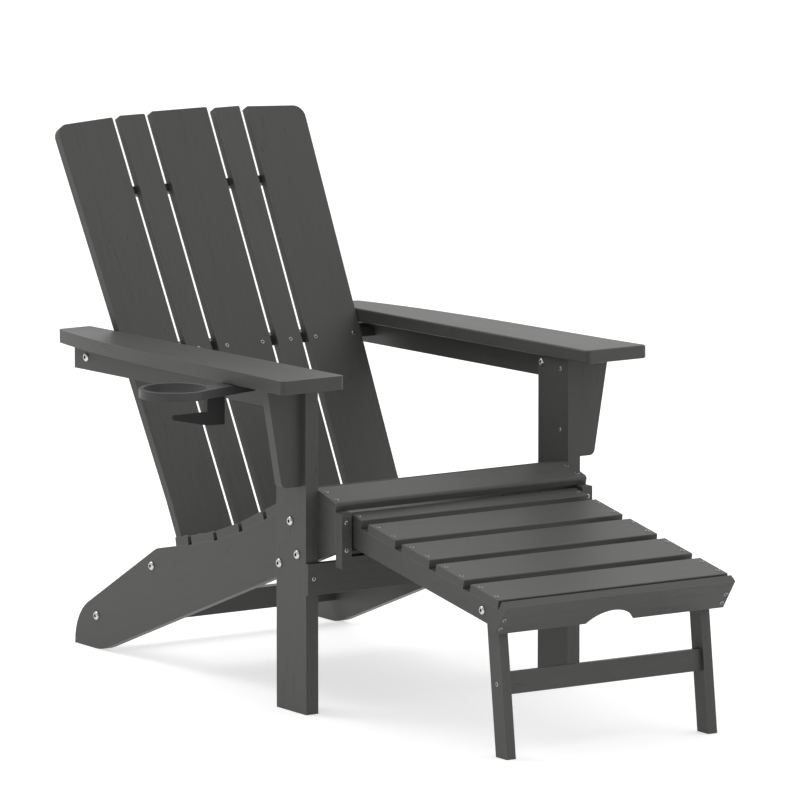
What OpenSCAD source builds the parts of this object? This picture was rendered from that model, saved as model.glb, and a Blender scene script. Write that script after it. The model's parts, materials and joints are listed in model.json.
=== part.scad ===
// Adirondack chair with a pull-out ottoman and a cup holder, millimetres.
// The chair faces -Y and stands on Z = 0; X = 0 is the chair's own middle.
// "Left" and "right" are the sitter's, so the right side is -X.

/* [Frame] */
// Half the width over the two stringers
side_x = 257; // [240:1:270]
// Thickness of a stringer
stringer_t = 18; // [15:1:20]
// Angle of the stringers' underside above the floor, degrees
stringer_angle = 20.7; // [19.5:0.1:21.5]
// Thickness of a front leg
leg_t = 25; // [22:1:28]
// Width of a front leg, front to back
leg_w = 93; // [88:1:96]

/* [Arms] */
// Height of the arms' top at their front end
arm_height = 592.5; // [588:0.5:600]
// Thickness of an arm
arm_t = 23.3; // [20:0.1:25]
// Length of an arm
arm_l = 825; // [815:1:835]
// Fall of the arms towards the back, degrees
arm_fall = 1.4; // [1.2:0.1:1.6]
// Half the clear width between the arms
arm_inner_x = 248.7; // [248.2:0.1:252]
// Front overhang of an arm beyond the middle of the leg
arm_front = 116.7; // [112:0.1:120]

/* [Seat] */
// Thickness of a seat slat
seat_t = 15.6; // [14:0.1:16]
// Distance from one seat slat to the next
seat_pitch = 84.9; // [84:0.1:85.5]
// Gap between seat slats
seat_gap = 11; // [9:0.5:13]

/* [Back] */
// Recline of the back from upright, degrees
back_tilt = 28.9; // [28.7:0.1:29.1]
// Thickness of a back slat
back_t = 16; // [14:0.5:17]
// Gap between back slats
back_gap = 14; // [12:0.5:16]
// Height of the middle slat, measured up the back from the seat level
back_h = 718; // [690:1:740]

/* [Ottoman] */
// Half the width over the ottoman's rails
ottoman_x = 232.5; // [228:0.5:233]
// Thickness of an ottoman rail
ottoman_rail_t = 18; // [15:1:20]
// Width of an ottoman slat
ottoman_slat_w = 84.4; // [80:0.1:86]
// Gap between ottoman slats
ottoman_gap = 21.2; // [19:0.1:24]
// Thickness of an ottoman slat
ottoman_slat_t = 15.5; // [14:0.1:16]
// Slope of the ottoman's top when pulled out, degrees
ottoman_slope = 10.14; // [10:0.01:10.3]
// Lean of the ottoman's legs, feet forward, degrees
ottoman_leg_lean = 6.9; // [6:0.1:8]

/* [Cup holder] */
// Inner radius of the cup ring
cup_r = 53.5; // [48:0.5:54]
// Height of the cup ring's band
cup_band = 15; // [12:1:16]

/* [Hidden] */
$fn = 48;
slate = [0.30, 0.31, 0.32];
slate_dark = [0.20, 0.21, 0.22];
steel = [0.75, 0.76, 0.78];

// The footprint's middle, counted from the front legs' middle, goes to the origin.
frame_shift = [75, -120, 0];

leg_x = side_x + leg_t;            // outer face of a leg
stringer_in = side_x - stringer_t; // inner face of a stringer
skin = 0.4;                        // clearance around a screw or bolt in its hole

// Arms: the outer edge is a cubic curve through these half-widths, front to rear.
arm_half = [374.5, 354.7, 371.4, 314];
arm_steps = 24;

// Seat: lengths and tilts of the slats, front to rear; the tops run end to end.
seat_nose = [-104.4, 371.5];
seat_len = [76, for (i = [1:5]) seat_pitch, 47];
seat_tilt = [-15, 21, 23, 23, 18.5, 13.5, 11];
seat_count = len(seat_len);

// Stringer outline, front to rear, below the seat.
stringer_front = -101.5;
stringer_rear = 750.5;
stringer_toe = 660.6;              // where the underside meets the floor
stringer_crest = [475.7, 209.7];   // where the top edge turns down behind the seat
stringer_heel_h = 54.7;            // height of the rear corner before rounding

// Back: widths of the middle, narrow and outer slats at seat level, and fan-out per mm.
back_foot = [461.9, 300];          // a point on the front face of the back
back_half = [53.25, 47.7, 107.55];
back_grow = [0.0071, 0.0087, 0.0153];
back_low = -121;                   // bottom ends of the slats, along the back
rail_low_s = [-104, -84];          // lower rail, heights along the back
rail_low_d = 88;
rail_up_s = [571, 586];            // upper rail
rail_up_t = 15;
rail_up_x = 235;

rail_mid_z = [524, 541];
rail_mid_y = 645;
support_t = 20;
support_d = 42.5;
support_y = [-12, 673];
corbel_y = [-32, -12.5];

guide_t = 19;
guide_z = [260.7, 358];
guide_notch = 281;
guide_upright = 20;
apron_y = [-53, -40];
apron_z = [207.5, 262];

// Ottoman: its own frame starts at the front slat's top front edge.
ottoman_origin = [-560.4, 272.3];
ottoman_pitch = ottoman_slat_w + ottoman_gap;
ottoman_last_w = 42;               // the rear slat is narrow to clear the seat
rail_low = [[-116, 296.5], [-522, 228.8]];
rail_rear_y = -62;
rail_front_z = [226.1, 256.6];     // mitred front end of a rail
lip = [[-570.4, 270.9], [-582.8, 262.3], [-547.2, 212], [-534.5, 220.9]];
pivot = [-512.1, 248.5];           // fold axis of the ottoman's legs
pivot_r = 4;
foot_leg_w = 32.6;
foot_leg_t = 18.4;
foot_leg_x = 214;
stretcher_z = 123.5;
stretcher_y = pivot[0] - (pivot[1] - stretcher_z) * tan(ottoman_leg_lean);
glide_r = 7.7;                     // leaves 0.3 under the ottoman's rails
glide_y = -111;
glide_z = 289.2;

// Cup holder
cup_centre = [-462.9, 81.8];
cup_wall = 8;
cup_top = 563.5;

// Fasteners
bolt_r = 4;
bolt_head_r = 8;
bolt_head_h = 4;
arm_bolt = [36, 553];                // joins a leg to its arm support
cap_r = 6.5;                         // cap nut on the bolt's inner end
cap_h = 3;
screw_r = 2.2;
screw_head_r = 4;
screw_head_h = 1;

// ---- helpers -------------------------------------------------------------

// Colour and place a piece in the part's frame.
module piece(c = slate) {
    color(c) translate(frame_shift) children();
}

// A board whose outline is drawn as (Y, Z), reaching from x0 to x1.
module side_board(x0, x1) {
    translate([x0, 0, 0]) rotate([90, 0, 90]) linear_extrude(x1 - x0) children();
}

// A board whose outline is drawn as (X, Z), reaching from y0 to y1.
module front_board(y0, y1) {
    translate([0, y1, 0]) rotate([90, 0, 0]) linear_extrude(y1 - y0) children();
}

// The same piece on the other side of the chair: side 1 is left, -1 is right.
module on_side(side) {
    mirror([side < 0 ? 1 : 0, 0, 0]) children();
}

// Points of an arc that rounds corner b between a and c.
function round_corner(a, b, c, r) =
    let (
        u = (a - b) / norm(a - b),
        v = (c - b) / norm(c - b),
        half = acos(u * v) / 2,
        m = b + (u + v) / norm(u + v) * r / sin(half),
        t1 = b + u * r / tan(half) - m,
        t2 = b + v * r / tan(half) - m,
        steps = max(3, ceil(2 * (90 - half) / 9))
    )
    [for (i = [0:steps])
        let (w = t1 * (1 - i / steps) + t2 * i / steps)
        m + w / norm(w) * r];

// An outline from rows of [x, y, corner radius].
function rounded(rows) =
    [for (i = [0:len(rows) - 1])
        let (
            n = len(rows),
            xy = function(k) [rows[(k + n) % n][0], rows[(k + n) % n][1]]
        )
        each rows[i][2] == 0 ? [xy(i)] : round_corner(xy(i - 1), xy(i), xy(i + 1), rows[i][2])];

// Height of the arms' underside above a place y.
function arm_under(y) =
    arm_height - arm_t / cos(arm_fall) - (y + arm_front) * tan(arm_fall);

// The space below the arms' underside, as (Y, Z).
module below_arm() {
    polygon([[-150, 0], [-150, arm_under(-150)], [760, arm_under(760)], [760, 0]]);
}

// Seat line: start of each slat, its direction and its upward normal.
function run(t) = [cos(t), -sin(t)];
function up(t) = [sin(t), cos(t)];
function seat_start(i) = i == 0 ? seat_nose : seat_start(i - 1) + run(seat_tilt[i - 1]) * seat_len[i - 1];
// Underside corner below joint i of the seat line.
function seat_under(i) =
    let (
        a = seat_tilt[max(i - 1, 0)],
        b = seat_tilt[min(i, seat_count - 1)]
    )
    seat_start(i) - up((a + b) / 2) * seat_t / cos((b - a) / 2);
// Height of the stringers' underside at y.
function stringer_under(y) = (stringer_toe - y) * tan(stringer_angle);

// Back frame: x stays, the outline's y runs up the back, depth runs to the rear.
module on_back(depth = 0) {
    translate([0, back_foot[0], back_foot[1]]) rotate([-back_tilt, 0, 0])
        translate([0, depth, 0]) children();
}

// Right and left edge of back slat k (0 middle, 1 narrow, 2 outer) at height s.
function back_width(k, s) = (k == 0 ? 2 : 1) * back_half[k] + (k == 0 ? 2 : 1) * back_grow[k] * s;
function back_inner(k, s) =
    k == 0 ? -back_width(0, s) / 2
    : (k == 1 ? back_width(0, s) / 2 : back_inner(1, s) + back_width(1, s)) + back_gap;
function back_outer(k, s) = back_inner(k, s) + back_width(k, s);

// Ottoman frame: p runs up the ottoman's top to the rear, q is the upward normal.
function ott(p, q) =
    ottoman_origin + p * [cos(ottoman_slope), sin(ottoman_slope)]
    + q * [-sin(ottoman_slope), cos(ottoman_slope)];
// Rear face of the lip at height z, less a hair's gap.
function lip_rear_y(z) =
    lip[0][0] + (z - lip[0][1]) * (lip[3][0] - lip[0][0]) / (lip[3][1] - lip[0][1]) + 0.2;
// Top and bottom edge of an ottoman rail at y; the rail is a little deeper at its rear.
function rail_top(y) =
    ott(0, -ottoman_slat_t)[1] + (y - ott(0, -ottoman_slat_t)[0]) * tan(ottoman_slope);
function rail_under(y) =
    rail_low[0][1] + (y - rail_low[0][0]) * (rail_low[0][1] - rail_low[1][1])
    / (rail_low[0][0] - rail_low[1][0]);

// A bolt along X: shank from x0 to x1 with a domed socket head beyond x1.
module cross_bolt(y, z, x0, x1) {
    translate([x0, y, z]) rotate([0, 90, 0]) {
        cylinder(r = bolt_r, h = x1 - x0);
        translate([0, 0, x1 - x0]) difference() {
            cylinder(r = bolt_head_r, h = bolt_head_h);
            translate([0, 0, 1.5]) cylinder(r = 3, h = bolt_head_h, $fn = 6);
        }
    }
}
module cross_hole(y, z, x0, x1) {
    translate([x0 - 1, y, z]) rotate([0, 90, 0]) cylinder(r = bolt_r + skin, h = x1 - x0 + 2);
}

// A screw whose head lies on the surface at the origin, pointing down -Z.
module screw(l = 26) {
    translate([0, 0, -l]) cylinder(r = screw_r, h = l);
    cylinder(r = screw_head_r, h = screw_head_h);
}
// Recess for a screw's head, where it must lie flush.
module screw_seat() {
    cylinder(r = screw_head_r + skin, h = screw_head_h + 1);
}
module screw_hole(l = 26) {
    translate([0, 0, -l - 1]) cylinder(r = screw_r + skin, h = l + 2);
}

// ---- where the fasteners go ----------------------------------------------

// Bolts along X, as [y, z, inner end, outer face], on each side of the chair.
frame_bolt_at = [
    [2.2, 329.2, stringer_in, leg_x],
    [-19.4, 274.3, stringer_in, leg_x],
    [37.3, 251.5, stringer_in, leg_x],
    [677, 59.2, 215, side_x],
    [491.4, 176.2, 215, side_x],
    [633.5, 531, 260, leg_x + support_t],
    [arm_bolt[0], arm_bolt[1], side_x - 1, leg_x + support_t]
];
module at_frame_bolts() {
    for (side = [-1, 1], b = frame_bolt_at) on_side(side) cross_bolt(b[0], b[1], b[2], b[3]);
}
module frame_bolt_holes() {
    for (side = [-1, 1], b = frame_bolt_at) on_side(side) cross_hole(b[0], b[1], b[2], b[3]);
}

// Screws along Y into the front of the guide board and the apron, as [x, z, face y].
frame_screw_at = [
    [side_x - 9.5, 340, stringer_front - guide_t],
    [side_x - 9.5, 293, stringer_front - guide_t],
    [leg_x - 12, 236, apron_y[0]]
];
module place_frame_screws() {
    for (side = [-1, 1], b = frame_screw_at)
        translate([side * b[0], b[2], b[1]]) rotate([90, 0, 0]) children();
}

// Screws along X through the leg into a corbel, from the leg's inner face.
corbel_screw_at = [548, 441];
module place_corbel_screws() {
    for (side = [-1, 1], z = corbel_screw_at)
        on_side(side) translate([side_x, (corbel_y[0] + corbel_y[1]) / 2, z])
            rotate([0, -90, 0]) children();
}

// Screws down through the seat slats into the stringers.
seat_screw_in = 10;
function seat_screw_at(i) = i == 0 ? [0.21, 0.645] : (i == seat_count - 1 ? [0.55] : [0.24, 0.76]);
module place_seat_screws() {
    for (i = [0:seat_count - 1], side = [-1, 1], f = seat_screw_at(i)) {
        p = seat_start(i) + run(seat_tilt[i]) * seat_len[i] * f;
        translate([side * (side_x - seat_screw_in), p[0], p[1]])
            rotate([-seat_tilt[i], 0, 0]) children();
    }
}

// Screws through the back slats into the lower and middle rails, and from behind
// through the upper rail into the slats.
back_screw_x = [37, 96, 149, 229];
module place_back_screws() {
    for (s = [(rail_low_s[0] + rail_low_s[1]) / 2, 268], x = back_screw_x, side = [-1, 1])
        on_back() translate([side * x, 0, s]) rotate([90, 0, 0]) children();
}
module place_upper_screws() {
    for (x = back_screw_x, side = [-1, 1])
        on_back(back_t + rail_up_t) translate([side * x, 0, (rail_up_s[0] + rail_up_s[1]) / 2])
            rotate([-90, 0, 0]) children();
}

// Screws up through the cup bracket into the arm, from the bracket's underside.
cup_screw_at = [[-335, 62], [-336, 88]];
module place_cup_screws() {
    for (p = cup_screw_at) translate([p[0], p[1], cup_top - cup_band]) mirror([0, 0, 1]) children();
}

// Screws down through the ottoman slats into its rails.
module place_ottoman_screws() {
    for (i = [0:4], side = [-1, 1], f = i == 4 ? [0.5] : [0.22, 0.78]) {
        p = ott(i * ottoman_pitch + f * (i == 4 ? ottoman_last_w : ottoman_slat_w), 0);
        translate([side * (ottoman_x - 8), p[0], p[1]]) rotate([ottoman_slope, 0, 0]) children();
    }
}
module place_lip_screws() {
    face = atan2(lip[2][1] - lip[1][1], lip[2][0] - lip[1][0]);
    for (side = [-1, 1], f = [0.48, 0.8]) {
        p = lip[1] * (1 - f) + lip[2] * f;
        translate([side * (ottoman_x - 8), p[0], p[1]]) rotate([180 + face, 0, 0]) children();
    }
}
// Screws along X through the ottoman's legs into their stretcher, heads let in flush.
module place_leg_screws() {
    for (side = [-1, 1]) on_side(side)
        translate([foot_leg_x - screw_head_h, stretcher_y, stretcher_z])
            rotate([0, 90, 0]) children();
}

// ---- chair frame ---------------------------------------------------------

module stringer() {
    difference() {
        side_board(stringer_in, side_x) polygon(rounded(concat(
            [[stringer_front, stringer_under(stringer_front), 2]],
            [[stringer_front,
                seat_under(0)[1] + (seat_under(0)[0] - stringer_front) * tan(seat_tilt[0]), 0]],
            [for (i = [1:seat_count]) concat(seat_under(i), 0)],
            [[stringer_crest[0], stringer_crest[1], 55]],
            [[stringer_rear, stringer_heel_h, 88]],
            [[stringer_rear, 0, 0]],
            [[stringer_toe, 0, 105]]
        )));
        frame_bolt_holes();
        place_frame_screws() screw_hole(40);
        place_seat_screws() screw_hole(32);
    }
}
module stringer_left() { piece() stringer(); }
module stringer_right() { piece() on_side(-1) stringer(); }

module front_leg() {
    difference() {
        intersection() {
            translate([side_x, -leg_w / 2, 0]) cube([leg_t, leg_w, arm_height]);
            side_board(side_x, leg_x) below_arm();
        }
        translate([side_x - 1, -leg_w / 2 - 1, apron_z[0]])
            cube([leg_t + 2, apron_y[1] + leg_w / 2 + 1, apron_z[1] - apron_z[0]]);
        frame_bolt_holes();
        place_frame_screws() screw_hole(40);
        place_corbel_screws() screw_hole(45);
    }
}
module front_leg_left() { piece() front_leg(); }
module front_leg_right() { piece() on_side(-1) front_leg(); }

// Half-width of an arm at the fraction t of its length.
function arm_edge(t) =
    arm_half[0] * pow(1 - t, 3) + 3 * arm_half[1] * t * pow(1 - t, 2)
    + 3 * arm_half[2] * t * t * (1 - t) + arm_half[3] * pow(t, 3);
module arm() {
    translate([0, -arm_front, arm_height]) rotate([-arm_fall, 0, 0]) translate([0, 0, -arm_t])
        linear_extrude(arm_t) polygon(rounded(concat(
            [[arm_inner_x, 0, 8], [arm_edge(0), 0, 9]],
            [for (i = [1:arm_steps - 1]) [arm_edge(i / arm_steps), arm_l * i / arm_steps, 0]],
            [[arm_edge(1), arm_l, 10], [arm_inner_x, arm_l, 4]]
        )));
}
module arm_left() { piece() arm(); }
module arm_right() {
    piece() difference() {
        on_side(-1) arm();
        place_cup_screws() screw_hole(32);
    }
}

module arm_support() {
    difference() {
        side_board(leg_x, leg_x + support_t) polygon([
            [support_y[0], arm_under(support_y[0])],
            [support_y[1], arm_under(support_y[1])],
            [support_y[1], arm_under(support_y[1]) - support_d],
            [support_y[0], arm_under(support_y[0]) - support_d]
        ]);
        frame_bolt_holes();
    }
}
module arm_support_left() { piece() arm_support(); }
module arm_support_right() { piece() on_side(-1) arm_support(); }

module corbel() {
    difference() {
        intersection() {
            front_board(corbel_y[0], corbel_y[1]) polygon(rounded([
                [leg_x, 570, 0], [leg_x, 393, 3], [321, 393, 11], [351, 570, 0]
            ]));
            side_board(leg_x, 352) below_arm();
        }
        place_corbel_screws() screw_hole(45);
    }
}
module corbel_left() { piece() corbel(); }
module corbel_right() { piece() on_side(-1) corbel(); }

module seat_slat(i) {
    a = i == 0 ? 0 : seat_gap / 2;
    b = seat_len[i] - (i == seat_count - 1 ? 0 : seat_gap / 2);
    p = seat_start(i);
    piece() difference() {
        translate([0, p[0], p[1]]) rotate([-seat_tilt[i], 0, 0])
            side_board(-side_x, side_x) polygon(rounded([
                [a, -seat_t, 2], [b, -seat_t, 1], [b, 0, 2], [a, 0, i == 0 ? 6 : 2]
            ]));
        place_seat_screws() screw_hole();
    }
}
module seat_slat_1() { seat_slat(0); }
module seat_slat_2() { seat_slat(1); }
module seat_slat_3() { seat_slat(2); }
module seat_slat_4() { seat_slat(3); }
module seat_slat_5() { seat_slat(4); }
module seat_slat_6() { seat_slat(5); }
module seat_slat_7() { seat_slat(6); }

// Back slat k on one side; the outer ones have a large rounded top corner.
module back_slat(k, side) {
    top = back_h - [0, 3, 5][k];
    outer_top = k == 2 ? top - 7 : top;
    piece() difference() {
        on_side(side) on_back(back_t) rotate([90, 0, 0]) linear_extrude(back_t)
            polygon(rounded([
                [back_inner(k, back_low), back_low, 2],
                [k == 2 ? back_inner(2, 0) + back_half[2] : back_outer(k, back_low), back_low, 2],
                [back_outer(k, 0), 0, 0],
                [back_outer(k, outer_top), outer_top, k == 2 ? 22 : 3],
                [back_inner(k, top), top, 3]
            ]));
        place_back_screws() screw_hole();
        place_upper_screws() screw_hole();
    }
}
module back_slat_1() { back_slat(2, -1); }
module back_slat_2() { back_slat(1, -1); }
module back_slat_3() { back_slat(0, 1); }
module back_slat_4() { back_slat(1, 1); }
module back_slat_5() { back_slat(2, 1); }

module back_rail_upper() {
    piece(slate_dark) difference() {
        on_back(back_t) translate([-rail_up_x, 0, rail_up_s[0]])
            cube([2 * rail_up_x, rail_up_t, rail_up_s[1] - rail_up_s[0]]);
        place_upper_screws() screw_hole();
    }
}

// Flat rail behind the back at arm height; its front edge is bevelled to the slats.
function back_rear_y(z) = back_foot[0] + (z - back_foot[1]) * tan(back_tilt) + back_t / cos(back_tilt);
module back_rail_middle() {
    piece(slate_dark) difference() {
        side_board(-leg_x, leg_x) polygon([
            [back_rear_y(rail_mid_z[0]), rail_mid_z[0]],
            [back_rear_y(rail_mid_z[1]), rail_mid_z[1]],
            [rail_mid_y, rail_mid_z[1]],
            [rail_mid_y, rail_mid_z[0]]
        ]);
        frame_bolt_holes();
        place_back_screws() screw_hole();
    }
}

// Lower rail: a board on edge to the back, between the stringers.
module back_rail_lower() {
    piece(slate_dark) difference() {
        on_back(back_t) translate([-stringer_in, 0, rail_low_s[0]])
            cube([2 * stringer_in, rail_low_d, rail_low_s[1] - rail_low_s[0]]);
        frame_bolt_holes();
        place_back_screws() screw_hole();
    }
}

module rear_stretcher() {
    piece(slate_dark) difference() {
        translate([-stringer_in, 667, 39]) cube([2 * stringer_in, 20, 39]);
        frame_bolt_holes();
    }
}

module front_apron() {
    piece(slate_dark) difference() {
        translate([-leg_x, apron_y[0], apron_z[0]])
            cube([2 * leg_x, apron_y[1] - apron_y[0], apron_z[1] - apron_z[0]]);
        place_frame_screws() screw_hole(40);
    }
}

// U-shaped board across the stringers' front ends; the ottoman runs in its notch.
module guide_board() {
    inner = side_x - guide_upright;
    piece() difference() {
        front_board(stringer_front - guide_t, stringer_front) polygon(rounded([
            [-side_x, guide_z[0], 3], [side_x, guide_z[0], 3],
            [side_x, guide_z[1], 3], [inner, guide_z[1], 3],
            [inner, guide_notch, 0], [-inner, guide_notch, 0],
            [-inner, guide_z[1], 3], [-side_x, guide_z[1], 3]
        ]));
        place_frame_screws() screw_hole(40);
    }
}

// Round bar lying in the guide board's notch, on which the ottoman slides and tilts.
module ottoman_glide_bar() {
    half = side_x - guide_upright - 0.5;
    piece(slate_dark) translate([-half, glide_y, glide_z]) rotate([0, 90, 0])
        cylinder(r = glide_r, h = 2 * half);
}

// ---- cup holder, under the right arm -------------------------------------

module cup_ring() {
    bracket = [[-445, 25.5], [-360, 49.6], [-313, 63], [-323, 98], [-370, 88], [-425, 78]];
    piece(slate_dark) difference() {
        union() {
            translate([cup_centre[0], cup_centre[1], cup_top - cup_band])
                cylinder(r = cup_r + cup_wall, h = cup_band);
            translate([0, 0, cup_top - cup_band]) linear_extrude(cup_band) polygon(bracket);
        }
        translate([cup_centre[0], cup_centre[1], cup_top - cup_band - 1])
            cylinder(r = cup_r, h = cup_band + 2);
        place_cup_screws() screw_hole(32);
    }
}

// Strap that hangs from the bracket and carries the cup from below, with a stiffening
// flange along the outer edge of its upright.
module cup_strap() {
    under = cup_top - cup_band;
    piece(slate_dark) {
        front_board(46, 53) polygon(rounded([
            [-420, under, 0], [-420, 523, 0], [-488, 524, 1], [-489.5, 515, 1],
            [-420, 500, 3], [-385, 499, 3], [-385, under, 0]
        ]));
        front_board(46, 62) polygon([[-420, under], [-420, 520], [-416, 520], [-416, under]]);
    }
}

// ---- fasteners of the chair ----------------------------------------------

module frame_bolts() {
    piece(steel) {
        at_frame_bolts();
        for (side = [-1, 1]) on_side(side)
            translate([side_x - cap_h, arm_bolt[0], arm_bolt[1]]) rotate([0, 90, 0])
                cylinder(r = cap_r, h = cap_h);
    }
}
module frame_screws() {
    piece(steel) {
        place_frame_screws() screw(38);
        place_corbel_screws() screw(43);
        place_cup_screws() screw(30);
    }
}
module seat_screws() { piece(steel) place_seat_screws() screw(30); }
module back_screws() {
    piece(steel) {
        place_back_screws() screw(24);
        place_upper_screws() screw(24);
    }
}

// ---- ottoman -------------------------------------------------------------

module ottoman_rail() {
    difference() {
        side_board(ottoman_x - ottoman_rail_t, ottoman_x) polygon([
            [lip_rear_y(rail_front_z[1]), rail_top(lip_rear_y(rail_front_z[1]))],
            [rail_rear_y, rail_top(rail_rear_y)],
            [rail_rear_y, rail_under(rail_rear_y)],
            [lip_rear_y(rail_front_z[0]), rail_front_z[0]]
        ]);
        translate([ottoman_x - ottoman_rail_t - 1, pivot[0], pivot[1]]) rotate([0, 90, 0])
            cylinder(r = pivot_r + skin, h = ottoman_rail_t + 2);
        place_ottoman_screws() screw_hole();
        place_lip_screws() screw_hole(28);
    }
}
module ottoman_rail_left() { piece() ottoman_rail(); }
module ottoman_rail_right() { piece() on_side(-1) ottoman_rail(); }

// Cross rail between the side rails' rear ends.
module ottoman_cross_rail() {
    half = ottoman_x - ottoman_rail_t;
    piece(slate_dark) translate([0, rail_rear_y - 18, rail_under(rail_rear_y - 18) + 3])
        rotate([ottoman_slope, 0, 0]) translate([-half, 0, 0]) cube([2 * half, 16, 30]);
}

module ottoman_slat(i) {
    w = i == 4 ? ottoman_last_w : ottoman_slat_w;
    p = ott(i * ottoman_pitch, 0);
    piece() difference() {
        translate([0, p[0], p[1]]) rotate([ottoman_slope, 0, 0])
            side_board(-ottoman_x, ottoman_x) polygon(rounded([
                [0, -ottoman_slat_t, 1], [w, -ottoman_slat_t, 1], [w, 0, 2], [0, 0, 2]
            ]));
        place_ottoman_screws() screw_hole();
    }
}
module ottoman_slat_1() { ottoman_slat(0); }
module ottoman_slat_2() { ottoman_slat(1); }
module ottoman_slat_3() { ottoman_slat(2); }
module ottoman_slat_4() { ottoman_slat(3); }
module ottoman_slat_5() { ottoman_slat(4); }

// Sloping front board with a finger grip, a low arch, cut in its lower edge.
grip_half = 48;
grip_rise = 26;
module ottoman_lip() {
    tilt = atan2(lip[2][1] - lip[1][1], lip[2][0] - lip[1][0]);
    grip_r = (grip_half * grip_half + grip_rise * grip_rise) / (2 * grip_rise);
    piece() difference() {
        side_board(-ottoman_x, ottoman_x) polygon(lip);
        translate([0, lip[2][0], lip[2][1]]) rotate([tilt, 0, 0])
            translate([0, grip_r - grip_rise, -30]) cylinder(r = grip_r, h = 90, $fn = 96);
        place_lip_screws() screw_hole(28);
    }
}

module ottoman_screws() {
    piece(steel) {
        place_ottoman_screws() screw(24);
        place_lip_screws() screw(26);
    }
}

// Shoulder bolts on which the ottoman's legs fold.
module ottoman_pivot_bolts() {
    x0 = foot_leg_x - foot_leg_t - 3;
    piece(steel) for (side = [-1, 1]) on_side(side)
        translate([x0, pivot[0], pivot[1]]) rotate([0, 90, 0]) {
            cylinder(r = pivot_r, h = ottoman_x - x0);
            cylinder(r = 7, h = 2.8);
            translate([0, 0, ottoman_x - x0]) difference() {
                cylinder(r = 7.5, h = 3.5);
                translate([0, 0, 1.5]) cylinder(r = 2.5, h = 4, $fn = 6);
            }
        }
}

// A leg of the ottoman, round at the pivot and cut level at the floor.
module ottoman_leg() {
    half = foot_leg_w / 2;
    difference() {
        intersection() {
            translate([0, pivot[0], pivot[1]]) rotate([-ottoman_leg_lean, 0, 0])
                side_board(foot_leg_x - foot_leg_t, foot_leg_x) union() {
                    circle(r = half);
                    translate([-half, -300]) square([foot_leg_w, 300]);
                }
            translate([0, pivot[0] - 150, 0]) cube([300, 300, 400]);
        }
        translate([0, pivot[0], pivot[1]]) rotate([0, 90, 0])
            cylinder(r = pivot_r + 0.06, h = 300);
        place_leg_screws() {
            screw_hole(40);
            screw_seat();
        }
    }
}
module ottoman_leg_left() { piece() ottoman_leg(); }
module ottoman_leg_right() { piece() on_side(-1) ottoman_leg(); }

module ottoman_leg_stretcher() {
    half = foot_leg_x - foot_leg_t;
    piece() difference() {
        translate([0, stretcher_y, stretcher_z])
            rotate([-ottoman_leg_lean, 0, 0]) translate([-half, -9, -18.5]) cube([2 * half, 18, 37]);
        place_leg_screws() screw_hole(40);
    }
}
module ottoman_leg_screws() { piece(steel) place_leg_screws() screw(38); }

stringer_left();
stringer_right();
front_leg_left();
front_leg_right();
arm_left();
arm_right();
arm_support_left();
arm_support_right();
corbel_left();
corbel_right();
seat_slat_1();
seat_slat_2();
seat_slat_3();
seat_slat_4();
seat_slat_5();
seat_slat_6();
seat_slat_7();
back_slat_1();
back_slat_2();
back_slat_3();
back_slat_4();
back_slat_5();
back_rail_upper();
back_rail_middle();
back_rail_lower();
rear_stretcher();
front_apron();
guide_board();
ottoman_glide_bar();
cup_ring();
cup_strap();
frame_bolts();
frame_screws();
seat_screws();
back_screws();
ottoman_rail_left();
ottoman_rail_right();
ottoman_cross_rail();
ottoman_slat_1();
ottoman_slat_2();
ottoman_slat_3();
ottoman_slat_4();
ottoman_slat_5();
ottoman_lip();
ottoman_screws();
ottoman_pivot_bolts();
ottoman_leg_left();
ottoman_leg_right();
ottoman_leg_stretcher();
ottoman_leg_screws();
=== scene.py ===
# Adirondack chair with a pull-out ottoman: finish, fasteners, light and camera.
import json
import math

import bmesh
import bpy
import numpy as np
from mathutils import Matrix, Vector


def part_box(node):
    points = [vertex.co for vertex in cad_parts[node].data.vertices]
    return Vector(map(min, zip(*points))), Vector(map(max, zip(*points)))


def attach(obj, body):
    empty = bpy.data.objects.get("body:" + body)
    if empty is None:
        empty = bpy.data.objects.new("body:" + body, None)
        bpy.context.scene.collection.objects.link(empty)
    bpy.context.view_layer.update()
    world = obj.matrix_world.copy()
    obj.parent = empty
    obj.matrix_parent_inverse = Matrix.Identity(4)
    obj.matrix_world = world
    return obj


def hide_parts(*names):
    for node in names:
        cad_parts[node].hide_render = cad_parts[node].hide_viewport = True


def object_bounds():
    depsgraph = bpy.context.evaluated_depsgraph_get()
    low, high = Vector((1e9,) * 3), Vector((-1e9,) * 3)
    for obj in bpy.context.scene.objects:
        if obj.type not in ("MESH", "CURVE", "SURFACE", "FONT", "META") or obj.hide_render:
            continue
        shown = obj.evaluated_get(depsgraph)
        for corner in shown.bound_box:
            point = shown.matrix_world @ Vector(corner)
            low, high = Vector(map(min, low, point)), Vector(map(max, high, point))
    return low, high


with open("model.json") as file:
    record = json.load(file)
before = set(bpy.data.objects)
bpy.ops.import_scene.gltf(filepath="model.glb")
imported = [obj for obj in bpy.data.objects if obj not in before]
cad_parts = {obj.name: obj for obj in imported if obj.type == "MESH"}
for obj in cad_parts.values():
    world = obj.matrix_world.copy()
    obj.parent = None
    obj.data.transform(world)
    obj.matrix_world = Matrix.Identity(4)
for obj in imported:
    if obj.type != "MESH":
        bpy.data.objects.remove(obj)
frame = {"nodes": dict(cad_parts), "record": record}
cad_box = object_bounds()
nodes = frame["nodes"]
body_of = {n: b for b, members in frame["record"]["behaviour"]["bodies"].items() for n in members}
slot_of = {s["node"]: s["material_slot"] for s in frame["record"]["subparts"]}

MM = 0.001

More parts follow.
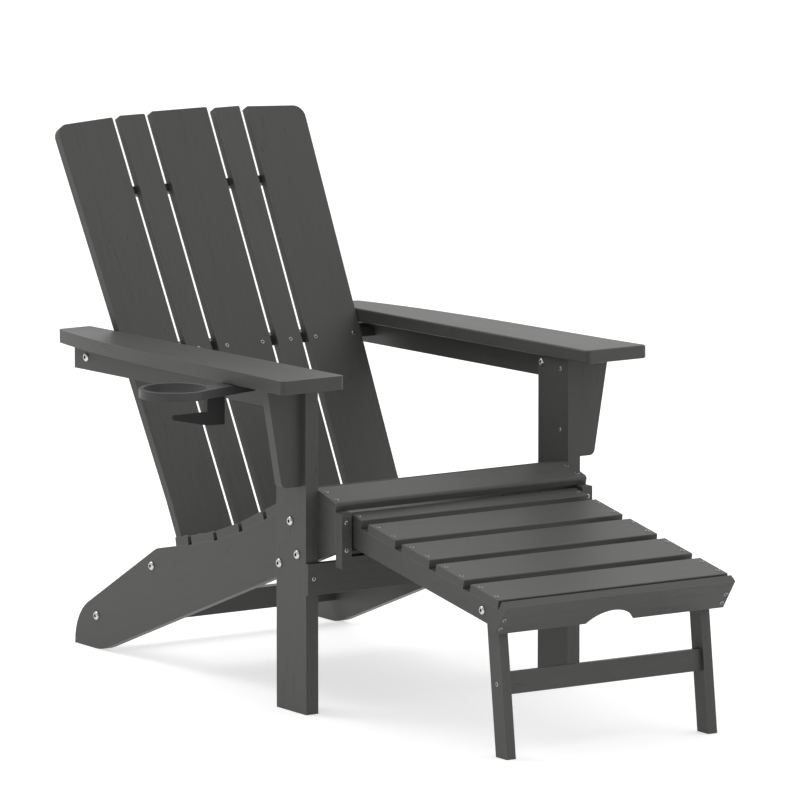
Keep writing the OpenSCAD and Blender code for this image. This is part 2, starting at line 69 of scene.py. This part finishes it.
# Floor and surround. Levels were fitted to the brightness of the boards in the photo.
FLOOR_HALF = 60
FLOOR_LEVEL = 0.55
FLOOR_GLOW = 0.60
WORLD_LEVEL = 0.05
WORLD_LOBES = [   # direction the light comes from, strength
    ((0, 0, 1), 0.34), ((1, 0, 0), 1.38), ((0, -1, 1), 0.26), ((1, 0, 1), 0.36), ((-1, 1, 0), 0.60)]
KEY_PLACE = (-1.6, 2.6, 3.4)   # places below are from the floor point between the front legs
KEY_TARGET = (0, 0.2, 0.5)
KEY_SIZE = (2.2, 2.2)
KEY_POWER = 77

# Camera solved from the photo: degrees round and above the chair, lens in millimetres.
CAMERA_AZIMUTH = -33.267
CAMERA_ELEVATION = 9.122
CAMERA_LENS = 430.2
CAMERA_DISTANCE = 16.76
CAMERA_TARGET = (0.1537, 0.3259, 0.4559)


# ---- places taken from the frame -------------------------------------------

def middle(*names):
    """Middle of the box round some CAD nodes."""
    lows, highs = zip(*(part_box(n) for n in names))
    low = Vector(min(v[i] for v in lows) for i in range(3))
    high = Vector(max(v[i] for v in highs) for i in range(3))
    return (low + high) / 2


legs_middle = middle("front_leg_left", "front_leg_right")
CHAIR = Vector((legs_middle.x, legs_middle.y, 0))  # floor point between the front legs


# ---- node helpers ----------------------------------------------------------

class Shader:
    """A material's node tree, with short ways to add nodes and link them."""

    def __init__(self, name):
        self.material = bpy.data.materials.new(name)
        self.material.use_nodes = True
        self.tree = self.material.node_tree
        self.surface = self.tree.nodes["Principled BSDF"]

    def add(self, kind, links=None, **settings):
        node = self.tree.nodes.new(kind)
        for key, value in settings.items():
            setattr(node, key, value)
        for key, value in (links or {}).items():
            self.feed(node.inputs[key], value)
        return node

    def feed(self, socket, value):
        if isinstance(value, bpy.types.NodeSocket):
            self.tree.links.new(value, socket)
        else:
            socket.default_value = value

    def math(self, operation, a, b):
        return self.add("ShaderNodeMath", {0: a, 1: b}, operation=operation).outputs[0]

    def ramp(self, value, low, high, to_low=0.0, to_high=1.0):
        node = self.add("ShaderNodeMapRange", {
            "Value": value, "From Min": low, "From Max": high,
            "To Min": to_low, "To Max": to_high})
        return node.outputs["Result"]

    def mix(self, factor, a, b, blend="MIX"):
        node = self.add("ShaderNodeMix", data_type="RGBA", blend_type=blend)
        self.feed(node.inputs["Factor"], factor)
        self.feed(node.inputs["A"], a)
        self.feed(node.inputs["B"], b)
        return node.outputs["Result"]

    def noise(self, vector, scale, detail=3.0, roughness=0.5):
        node = self.add("ShaderNodeTexNoise", {
            "Vector": vector, "Scale": scale, "Detail": detail, "Roughness": roughness})
        return node.outputs["Fac"]


def grey(level, warmth=0.0):
    """Grey colour with its blue lowered by a share."""
    return (level, level, level * (1 - warmth), 1.0)


# ---- materials -------------------------------------------------------------

BOARD_LEVEL = 0.058
BOARD_WARMTH = 0.06
BOARD_SPECULAR = 0.25
GRAIN_STRETCH = 0.055    # the grain runs this much slower along a board
GROOVE_WIDTH = 0.012     # how near its middle the slow noise draws a groove
EDGE_WEAR_AND_SHEEN_REACH = 2.2 * MM    # how far in from an edge the paler wear and painted highlight show
BOARD_BUMP = 0.25 * MM


def lumber(name, along, seed, level):
    """Grey poly lumber: satin, with embossed grain along the board and paler edges, partly wear and
    partly a painted highlight.
    """
    s = Shader(name)
    turn = along.to_track_quat("X", "Z").inverted().to_euler()
    place = s.add("ShaderNodeTexCoord").outputs["Object"]
    turned = s.add("ShaderNodeMapping", {"Vector": place, "Rotation": turn}, vector_type="POINT")
    offset = (seed * 1.37 % 5, seed * 2.11 % 7, seed * 0.83 % 3)
    moved = s.add("ShaderNodeVectorMath", {0: turned.outputs[0], 1: offset},
                  operation="ADD").outputs[0]
    grain_place = s.add("ShaderNodeVectorMath", {0: moved, 1: (GRAIN_STRETCH, 1, 1)},
                        operation="MULTIPLY").outputs[0]
    fine = s.noise(grain_place, 620, detail=4, roughness=0.65)
    broad = s.noise(grain_place, 90, detail=3, roughness=0.55)
    cloud = s.noise(moved, 5.5, detail=2)
    pores = s.noise(moved, 1500, detail=2)

    streaks = s.ramp(s.math("ADD", s.math("MULTIPLY", fine, 0.6), s.math("MULTIPLY", broad, 0.4)),
                     0.35, 0.65)
    base = s.mix(streaks, grey(level * 0.90, BOARD_WARMTH), grey(level * 1.08, BOARD_WARMTH))
    clouded = s.mix(s.ramp(cloud, 0.3, 0.7, 0.0, 0.3), base, grey(level * 1.08, BOARD_WARMTH))
    pitted = s.mix(s.ramp(pores, 0.66, 0.74, 0.0, 0.35), clouded, grey(level * 0.6, BOARD_WARMTH))

    # Embossed grain: thin dark lines where a slow noise crosses its middle, in patches.
    slow = s.noise(grain_place, 70, detail=2, roughness=0.4)
    line = s.ramp(s.math("ABSOLUTE", s.math("SUBTRACT", slow, 0.5), 0), 0.0, GROOVE_WIDTH, 1.0, 0.0)
    grooves = s.math("MULTIPLY", line, s.ramp(cloud, 0.44, 0.58, 0.0, 1.0))
    grained = s.mix(s.math("MULTIPLY", grooves, 0.5), pitted, grey(level * 0.55, BOARD_WARMTH))

    # Paler edges where the rounded normal leaves the true one: partly wear, partly a painted
    # highlight along the rounded edges.
    edge = s.add("ShaderNodeBevel", {"Radius": EDGE_WEAR_AND_SHEEN_REACH}, samples=4)
    true_normal = s.add("ShaderNodeNewGeometry").outputs["Normal"]
    facing = s.add("ShaderNodeVectorMath", {0: edge.outputs[0], 1: true_normal},
                   operation="DOT_PRODUCT").outputs["Value"]
    edge_wear_and_sheen = s.math("MULTIPLY", s.ramp(facing, 0.995, 0.86, 0.0, 1.0),
                    s.ramp(broad, 0.3, 0.7, 0.45, 0.85))
    s.feed(s.surface.inputs["Base Color"],
           s.mix(edge_wear_and_sheen, grained, grey(level * 1.7, BOARD_WARMTH)))

    rough = s.ramp(s.math("ADD", streaks, cloud), 0.2, 1.8, 0.42, 0.50)
    s.feed(s.surface.inputs["Roughness"], rough)
    s.surface.inputs["Specular IOR Level"].default_value = BOARD_SPECULAR
    texture = s.math("ADD", s.math("MULTIPLY", streaks, 0.7), s.math("MULTIPLY", pores, 0.3))
    height = s.math("SUBTRACT", texture, grooves)
    bump = s.add("ShaderNodeBump", {"Height": height, "Strength": 0.22, "Distance": BOARD_BUMP})
    s.feed(s.surface.inputs["Normal"], bump.outputs[0])
    return s.material


def moulded(name, level, rough):
    """Smooth moulded plastic with a fine spark texture and a little handling polish."""
    s = Shader(name)
    place = s.add("ShaderNodeTexCoord").outputs["Object"]
    spark = s.noise(place, 2600, detail=2, roughness=0.6)
    cloud = s.noise(place, 14, detail=3)
    s.feed(s.surface.inputs["Base Color"],
           s.mix(s.ramp(cloud, 0.3, 0.7), grey(level * 0.9), grey(level * 1.12, 0.01)))
    s.feed(s.surface.inputs["Roughness"], s.ramp(cloud, 0.3, 0.7, rough - 0.06, rough + 0.06))
    s.surface.inputs["Specular IOR Level"].default_value = BOARD_SPECULAR
    bump = s.add("ShaderNodeBump", {"Height": spark, "Strength": 0.18, "Distance": 0.12 * MM})
    s.feed(s.surface.inputs["Normal"], bump.outputs[0])
    return s.material


def stainless(name, bright):
    """Stainless steel with light water marks."""
    s = Shader(name)
    place = s.add("ShaderNodeTexCoord").outputs["Object"]
    marks = s.noise(place, 420, detail=4, roughness=0.6)
    fine = s.noise(place, 5200, detail=2)
    s.feed(s.surface.inputs["Base Color"],
           s.mix(s.ramp(marks, 0.35, 0.7), grey(bright), grey(bright * 0.72, 0.02)))
    s.surface.inputs["Metallic"].default_value = 1.0
    s.feed(s.surface.inputs["Roughness"], s.ramp(marks, 0.3, 0.75, 0.22, 0.42))
    bump = s.add("ShaderNodeBump", {"Height": fine, "Strength": 0.15, "Distance": 0.05 * MM})
    s.feed(s.surface.inputs["Normal"], bump.outputs[0])
    return s.material


def painted_recess_shade(name):
    """Near-black painted shade for the inside of a driver recess, mottled a little."""
    s = Shader(name)
    place = s.add("ShaderNodeTexCoord").outputs["Object"]
    shade_mottle = s.noise(place, 900, detail=3)
    s.feed(s.surface.inputs["Base Color"], s.mix(shade_mottle, grey(0.012), grey(0.03, 0.05)))
    s.feed(s.surface.inputs["Roughness"], s.ramp(shade_mottle, 0.3, 0.7, 0.55, 0.8))
    return s.material


# ---- boards ----------------------------------------------------------------

ACROSS, LENGTHWISE, UPRIGHT = Vector((1, 0, 0)), Vector((0, 1, 0)), Vector((0, 0, 1))
GRAIN_ALONG = {
    "seat_slat": ACROSS, "ottoman_slat": ACROSS, "ottoman_lip": ACROSS, "guide_board": ACROSS,
    "front_apron": ACROSS, "rear_stretcher": ACROSS, "back_rail": ACROSS,
    "ottoman_cross_rail": ACROSS, "ottoman_leg_stretcher": ACROSS, "ottoman_glide_bar": ACROSS,
    "arm": LENGTHWISE, "front_leg": UPRIGHT, "corbel": UPRIGHT,
    # sloping boards: the direction that each is built along
    "back_slat": Vector((0, 0.4833, 0.8755)), "stringer": Vector((0, -0.9354, 0.3535)),
    "ottoman_rail": Vector((0, 0.9844, 0.176)), "ottoman_leg": Vector((0, 0.12, 0.9927)),
}


def grain_of(name):
    """Grain direction of a board by the longest key that starts its name."""
    keys = [k for k in GRAIN_ALONG if name.startswith(k)]
    return GRAIN_ALONG[max(keys, key=len)]


def ease_edges(obj, radius, segments=3):
    """Merge a CAD mesh's flat faces and round its sharp edges, all by modifiers."""
    weld = obj.modifiers.new("weld", "WELD")
    weld.merge_threshold = 0.01 * MM
    flat = obj.modifiers.new("flat", "DECIMATE")
    flat.decimate_type = "DISSOLVE"
    flat.angle_limit = math.radians(0.6)
    flat.delimit = set()
    bevel = obj.modifiers.new("ease", "BEVEL")
    bevel.width = radius
    bevel.segments = segments
    bevel.limit_method = "ANGLE"
    bevel.angle_limit = math.radians(28)
    bevel.use_clamp_overlap = True
    even = obj.modifiers.new("even", "WEIGHTED_NORMAL")
    even.mode = "FACE_AREA_WITH_ANGLE"
    even.weight = 100
    even.thresh = 0.01
    for face in obj.data.polygons:
        face.use_smooth = True


EDGE_RADIUS = {
    "lumber": 2.0 * MM, "lumber_hidden": 1.5 * MM, "cup_plastic": 1.4 * MM, "glide_bar": 0.8 * MM}
EDGE_BY_NAME = {"arm_left": 3.2 * MM, "arm_right": 3.2 * MM, "back_slat_": 1.0 * MM}
# cup_strap's level is far below the cup ring's: painted shade for its front face, which faces away
# from the light.
PLASTIC_LEVEL_AND_PAINTED_SHADE = {"cup_ring": 0.050, "cup_strap": 0.010, "ottoman_glide_bar": 0.030}
PLASTIC_ROUGHNESS = 0.42
TONE_SPREAD = 0.05       # boards differ in grey by up to this share


def finish_boards():
    """Give every board and plastic piece its own material and eased edges."""
    seed = 0
    for name, obj in sorted(nodes.items()):
        slot = slot_of[name]
        if slot == "steel":
            continue
        seed += 1
        obj.data.materials.clear()
        if name in PLASTIC_LEVEL_AND_PAINTED_SHADE:
            obj.data.materials.append(
                moulded("plastic_" + name, PLASTIC_LEVEL_AND_PAINTED_SHADE[name], PLASTIC_ROUGHNESS))
        else:
            tone = 1 + TONE_SPREAD * math.sin(seed * 2.4)
            obj.data.materials.append(
                lumber("lumber_" + name, grain_of(name), seed, BOARD_LEVEL * tone))
        ease_edges(obj, EDGE_BY_NAME.get(name.rstrip("12345"), EDGE_RADIUS[slot]))


# ---- fasteners -------------------------------------------------------------

def islands(obj):
    """The separate solids of a CAD node, as lists of points."""
    bm = bmesh.new()
    bm.from_mesh(obj.data)
    bmesh.ops.remove_doubles(bm, verts=bm.verts, dist=0.01 * MM)
    seen = set()
    groups = []
    for first in bm.verts:   # in index order, so that every run numbers the solids alike
        if first in seen:
            continue
        seen.add(first)
        stack = [first]
        points = []
        while stack:
            v = stack.pop()
            points.append(v.co.copy())
            for e in v.link_edges:
                w = e.other_vert(v)
                if w not in seen:
                    seen.add(w)
                    stack.append(w)
        groups.append(points)
    bm.free()
    return groups


BOLT_BRIGHTNESS = 0.66
SCREW_BRIGHTNESS = 0.45
SLAT_SCREW_BRIGHTNESS = 0.30
HEAD_REACH = 5 * MM      # a head lies within this of its end of the fastener
SHANK_SHARE = 0.92       # turned shank's length as a share of the CAD one's


def fastener_ends(points):
    """Its heads, as (middle of the seat, outward direction, radius), and its whole length."""
    p = np.array([v[:] for v in points])
    centre = p.mean(0)
    along = np.linalg.svd(p - centre)[2][0]
    reach = (p - centre) @ along
    low, high = reach.min(), reach.max()
    tip = p[np.abs(reach - low) < 0.05 * MM]
    axis_point = (tip.min(0) + tip.max(0)) / 2
    radial = np.linalg.norm((p - axis_point) - np.outer((p - axis_point) @ along, along), axis=1)
    shank = np.percentile(radial[radial > 0.6 * MM], 5)
    ends = []
    for sign in (-1, 1):
        outer = (reach * sign).max()
        head = (outer - reach * sign < HEAD_REACH) & (radial > 1.3 * shank)
        if head.any():
            seat = (reach * sign)[head & (radial > 0.95 * radial[head].max())].min()
            at = axis_point + along * (sign * seat - (axis_point - centre) @ along)
            ends.append((Vector(at), Vector(along * sign), float(radial[head].max())))
    return ends, float(high - low)


def ring_radius(shape, radius, angle):
    """Radius of a ring at an angle: round, six-sided or six-lobed."""
    if shape == "hex":
        return radius * math.cos(math.pi / 6) / math.cos((angle % (math.pi / 3)) - math.pi / 6)
    if shape == "star":
        return radius * (1 + 0.17 * math.cos(6 * angle))
    return radius


def turned(bm, profile, place, steps=48):
    """Skin rows of (radius, height, shape, material) about the Z axis of place."""
    rings = []
    for radius, height, shape, _ in profile:
        angles = [2 * math.pi * k / steps for k in range(steps)] if radius else [0.0]
        ring = []
        for a in angles:
            out = ring_radius(shape, radius, a)
            ring.append(bm.verts.new(place @ Vector((out * math.cos(a), out * math.sin(a), height))))
        rings.append(ring)
    for a, b, row in zip(rings, rings[1:], profile[1:]):
        for k in range(steps):
            j = (k + 1) % steps
            if len(a) == 1:
                corners = [a[0], b[k], b[j]]
            elif len(b) == 1:
                corners = [a[j], a[k], b[0]]
            else:
                corners = [a[j], a[k], b[k], b[j]]
            face = bm.faces.new(corners)
            face.material_index = row[3]
            face.smooth = True


METAL, RECESS = 0, 1     # material slots of a turned fastener


def bolt_profile(r, length):
    """Button-head bolt with a hexagon socket, from the tip of its shank up into the socket."""
    shank = r * 0.5
    outside = [
        (0, -length), (shank * 0.8, -length), (shank, -length + shank * 0.3), (shank, 0),
        (r * 0.97, 0), (r, r * 0.05), (r * 0.985, r * 0.16), (r * 0.9, r * 0.29),
        (r * 0.76, r * 0.40), (r * 0.6, r * 0.46), (r * 0.47, r * 0.48)]
    return [(*point, "round", METAL) for point in outside] + [
        (r * 0.43, r * 0.465, "hex", METAL), (r * 0.41, r * 0.43, "hex", RECESS),
        (r * 0.40, r * 0.10, "hex", RECESS), (0, r * 0.04, "round", RECESS)]


def screw_profile(r, length):
    """Pan-head screw with a six-lobe recess and a pointed shank."""
    shank = r * 0.55
    outside = [
        (0, -length), (shank * 0.5, -length + shank * 1.6), (shank, -length + shank * 3.4),
        (shank, -r * 0.3), (r * 0.95, 0.0), (r, r * 0.05), (r * 0.95, r * 0.15),
        (r * 0.78, r * 0.23), (r * 0.56, r * 0.25)]
    return [(*point, "round", METAL) for point in outside] + [
        (r * 0.47, r * 0.25, "star", METAL), (r * 0.45, r * 0.21, "star", RECESS),
        (r * 0.40, -r * 0.15, "star", RECESS), (0, -r * 0.25, "round", RECESS)]


def detail_fasteners(node, profile, steel, recess_shade):
    """Replace a CAD node of plain fasteners with turned ones in the same places."""
    bm = bmesh.new()
    for number, points in enumerate(islands(nodes[node])):
        ends, length = fastener_ends(points)
        for seat, outward, radius in ends:
            place = Matrix.Translation(seat) @ outward.to_track_quat("Z", "Y").to_matrix().to_4x4()
            spin = Matrix.Rotation(number * 1.9, 4, "Z")
            turned(bm, profile(radius, length / len(ends) * SHANK_SHARE), place @ spin)
    bmesh.ops.recalc_face_normals(bm, faces=bm.faces)
    mesh = bpy.data.meshes.new("turned_" + node)
    bm.to_mesh(mesh)
    bm.free()
    piece = bpy.data.objects.new("turned_" + node, mesh)
    bpy.context.scene.collection.objects.link(piece)
    mesh.materials.append(steel)
    # the second slot is painted shade inside the head's recess
    mesh.materials.append(recess_shade)
    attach(piece, body_of[node])
    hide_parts(node)


# ---- stage, light and camera -----------------------------------------------

def make_floor():
    """A wide pale floor that glows a little, so that it reads as white."""
    s = Shader("floor_paint")
    place = s.add("ShaderNodeTexCoord").outputs["Object"]
    cloud = s.noise(place, 0.6, detail=2)
    s.feed(s.surface.inputs["Base Color"],
           s.mix(cloud, grey(FLOOR_LEVEL * 0.97), grey(FLOOR_LEVEL * 1.03)))
    s.surface.inputs["Roughness"].default_value = 0.9
    s.surface.inputs["Specular IOR Level"].default_value = 0.1
    s.surface.inputs["Emission Color"].default_value = grey(1.0)
    s.surface.inputs["Emission Strength"].default_value = FLOOR_GLOW
    bm = bmesh.new()
    bmesh.ops.create_grid(bm, x_segments=8, y_segments=8, size=FLOOR_HALF)
    mesh = bpy.data.meshes.new("floor")
    bm.to_mesh(mesh)
    bm.free()
    floor = bpy.data.objects.new("floor", mesh)
    floor.location.z = cad_box[0].z - 0.2 * MM
    mesh.materials.append(s.material)
    bpy.context.scene.collection.objects.link(floor)


def make_world():
    """Bright studio surround: an even level and a few broad lobes of light."""
    world = bpy.data.worlds.new("studio")
    bpy.context.scene.world = world
    world.use_nodes = True
    tree = world.node_tree
    background = tree.nodes["Background"]
    background.inputs["Color"].default_value = grey(1.0)
    place = tree.nodes.new("ShaderNodeTexCoord").outputs["Generated"]
    level = None
    for direction, weight in WORLD_LOBES:
        facing = tree.nodes.new("ShaderNodeVectorMath")
        facing.operation = "DOT_PRODUCT"
        tree.links.new(place, facing.inputs[0])
        facing.inputs[1].default_value = Vector(direction).normalized()
        lobe = tree.nodes.new("ShaderNodeMath")
        lobe.operation = "MAXIMUM"
        tree.links.new(facing.outputs["Value"], lobe.inputs[0])
        lobe.inputs[1].default_value = 0
        total = tree.nodes.new("ShaderNodeMath")
        total.operation = "MULTIPLY_ADD"
        tree.links.new(lobe.outputs[0], total.inputs[0])
        total.inputs[1].default_value = weight
        if level is None:
            total.inputs[2].default_value = WORLD_LEVEL
        else:
            tree.links.new(level, total.inputs[2])
        level = total.outputs[0]
    tree.links.new(level, background.inputs["Strength"])


def make_softbox(name, place, target, size, power):
    """Rectangular area light aimed at a target."""
    light = bpy.data.lights.new(name, "AREA")
    light.shape = "RECTANGLE"
    light.size, light.size_y = size
    light.energy = power
    obj = bpy.data.objects.new(name, light)
    obj.location = CHAIR + Vector(place)
    aim = CHAIR + Vector(target) - obj.location
    obj.rotation_euler = aim.to_track_quat("-Z", "Y").to_euler()
    bpy.context.scene.collection.objects.link(obj)


def make_camera():
    """The photo's view of the chair."""
    camera = bpy.data.cameras.new("camera")
    camera.sensor_width = 36
    camera.lens = CAMERA_LENS
    camera.clip_start = 1
    camera.clip_end = 120
    obj = bpy.data.objects.new("camera", camera)
    a, e = math.radians(CAMERA_AZIMUTH), math.radians(CAMERA_ELEVATION)
    back = Vector((math.sin(a) * math.cos(e), -math.cos(a) * math.cos(e), math.sin(e)))
    obj.location = CHAIR + Vector(CAMERA_TARGET) + back * CAMERA_DISTANCE
    obj.rotation_euler = (-back).to_track_quat("-Z", "Y").to_euler()
    bpy.context.scene.collection.objects.link(obj)
    bpy.context.scene.camera = obj


make_camera()
make_floor()
make_world()
make_softbox("key", KEY_PLACE, KEY_TARGET, KEY_SIZE, KEY_POWER)
finish_boards()
steel = stainless("stainless", BOLT_BRIGHTNESS)
screw_steel = stainless("screw_stainless", SCREW_BRIGHTNESS)
dull_steel = stainless("dull_stainless", SLAT_SCREW_BRIGHTNESS)
# near-black painted shade for the driver recesses
recess_shade = painted_recess_shade("recess")
for name in ("frame_bolts", "ottoman_pivot_bolts"):
    detail_fasteners(name, bolt_profile, steel, recess_shade)
for name in ("frame_screws", "ottoman_leg_screws"):
    detail_fasteners(name, screw_profile, screw_steel, recess_shade)
for name in ("seat_screws", "back_screws", "ottoman_screws"):
    detail_fasteners(name, screw_profile, dull_steel, recess_shade)
bpy.context.scene.view_settings.view_transform = "Standard"
